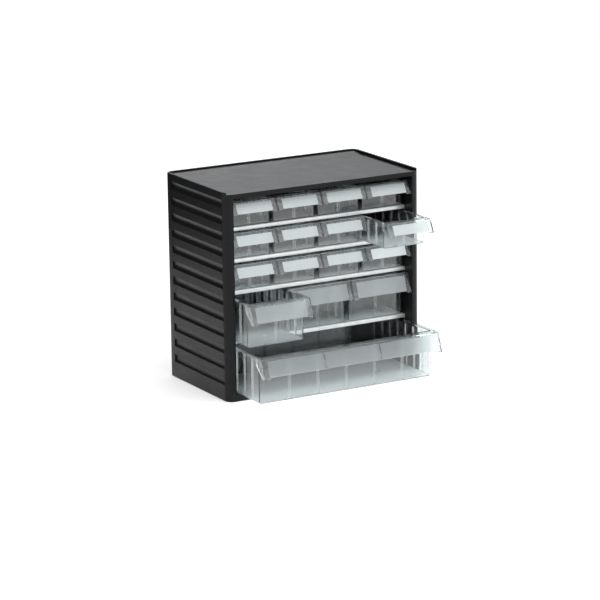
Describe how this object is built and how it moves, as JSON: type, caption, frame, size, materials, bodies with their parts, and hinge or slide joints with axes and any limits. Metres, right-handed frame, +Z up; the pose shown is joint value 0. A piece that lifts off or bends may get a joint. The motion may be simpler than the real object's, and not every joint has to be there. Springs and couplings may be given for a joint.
{
  "type": "parts bin cabinet",
  "caption": "Free-standing cabinet of clear pull-out bins on metal shelves in a ribbed dark shell, for small parts, with a stacking tray on top.",
  "frame": {"origin": "centre of the underside, on the surface that the cabinet stands on", "axes": "+Z up, the open front faces -Y, +X to the right seen from the front"},
  "size_m": [0.31, 0.2535, 0.29],
  "materials": {
    "shell": "fine-grained charcoal moulded plastic",
    "panel": "charcoal moulded plastic",
    "shelf_metal": "bright zinc-coated sheet",
    "clear_plastic": "clear moulded polystyrene"
  },
  "bodies": {
    "cabinet": {"cabinet_shell": "shell", "rear_panel": "panel", "shelf_1": "shelf_metal", "shelf_2": "shelf_metal", "shelf_3": "shelf_metal", "shelf_4": "shelf_metal"},
    "large_drawer": {"large_drawer": "clear_plastic"},
    "medium_drawer_column_1": {"medium_drawer_column_1": "clear_plastic"},
    "medium_drawer_column_2": {"medium_drawer_column_2": "clear_plastic"},
    "medium_drawer_column_3": {"medium_drawer_column_3": "clear_plastic"},
    "small_drawer_row_1_column_1": {"small_drawer_row_1_column_1": "clear_plastic"},
    "small_drawer_row_1_column_2": {"small_drawer_row_1_column_2": "clear_plastic"},
    "small_drawer_row_1_column_3": {"small_drawer_row_1_column_3": "clear_plastic"},
    "small_drawer_row_1_column_4": {"small_drawer_row_1_column_4": "clear_plastic"},
    "small_drawer_row_2_column_1": {"small_drawer_row_2_column_1": "clear_plastic"},
    "small_drawer_row_2_column_2": {"small_drawer_row_2_column_2": "clear_plastic"},
    "small_drawer_row_2_column_3": {"small_drawer_row_2_column_3": "clear_plastic"},
    "small_drawer_row_2_column_4": {"small_drawer_row_2_column_4": "clear_plastic"},
    "small_drawer_row_3_column_1": {"small_drawer_row_3_column_1": "clear_plastic"},
    "small_drawer_row_3_column_2": {"small_drawer_row_3_column_2": "clear_plastic"},
    "small_drawer_row_3_column_3": {"small_drawer_row_3_column_3": "clear_plastic"},
    "small_drawer_row_3_column_4": {"small_drawer_row_3_column_4": "clear_plastic"}
  },
  "joints": [
    {"name": "large_drawer_slide", "type": "slide", "parent": "cabinet", "child": "large_drawer", "axis": [0, -1, 0], "range_m": [-0.078, 0.0693]},
    {"name": "medium_drawer_column_1_slide", "type": "slide", "parent": "cabinet", "child": "medium_drawer_column_1", "axis": [0, -1, 0], "range_m": [-0.05, 0.0973]},
    {"name": "medium_drawer_column_2_slide", "type": "slide", "parent": "cabinet", "child": "medium_drawer_column_2", "axis": [0, -1, 0], "range_m": [0, 0.1473]},
    {"name": "medium_drawer_column_3_slide", "type": "slide", "parent": "cabinet", "child": "medium_drawer_column_3", "axis": [0, -1, 0], "range_m": [0, 0.1473]},
    {"name": "small_drawer_row_1_column_1_slide", "type": "slide", "parent": "cabinet", "child": "small_drawer_row_1_column_1", "axis": [0, -1, 0], "range_m": [0, 0.1473]},
    {"name": "small_drawer_row_1_column_2_slide", "type": "slide", "parent": "cabinet", "child": "small_drawer_row_1_column_2", "axis": [0, -1, 0], "range_m": [0, 0.1473]},
    {"name": "small_drawer_row_1_column_3_slide", "type": "slide", "parent": "cabinet", "child": "small_drawer_row_1_column_3", "axis": [0, -1, 0], "range_m": [0, 0.1473]},
    {"name": "small_drawer_row_1_column_4_slide", "type": "slide", "parent": "cabinet", "child": "small_drawer_row_1_column_4", "axis": [0, -1, 0], "range_m": [0, 0.1473]},
    {"name": "small_drawer_row_2_column_1_slide", "type": "slide", "parent": "cabinet", "child": "small_drawer_row_2_column_1", "axis": [0, -1, 0], "range_m": [0, 0.1473]},
    {"name": "small_drawer_row_2_column_2_slide", "type": "slide", "parent": "cabinet", "child": "small_drawer_row_2_column_2", "axis": [0, -1, 0], "range_m": [0, 0.1473]},
    {"name": "small_drawer_row_2_column_3_slide", "type": "slide", "parent": "cabinet", "child": "small_drawer_row_2_column_3", "axis": [0, -1, 0], "range_m": [0, 0.1473]},
    {"name": "small_drawer_row_2_column_4_slide", "type": "slide", "parent": "cabinet", "child": "small_drawer_row_2_column_4", "axis": [0, -1, 0], "range_m": [-0.058, 0.0893]},
    {"name": "small_drawer_row_3_column_1_slide", "type": "slide", "parent": "cabinet", "child": "small_drawer_row_3_column_1", "axis": [0, -1, 0], "range_m": [0, 0.1473]},
    {"name": "small_drawer_row_3_column_2_slide", "type": "slide", "parent": "cabinet", "child": "small_drawer_row_3_column_2", "axis": [0, -1, 0], "range_m": [0, 0.1473]},
    {"name": "small_drawer_row_3_column_3_slide", "type": "slide", "parent": "cabinet", "child": "small_drawer_row_3_column_3", "axis": [0, -1, 0], "range_m": [0, 0.1473]},
    {"name": "small_drawer_row_3_column_4_slide", "type": "slide", "parent": "cabinet", "child": "small_drawer_row_3_column_4", "axis": [0, -1, 0], "range_m": [0, 0.1473]}
  ]
}
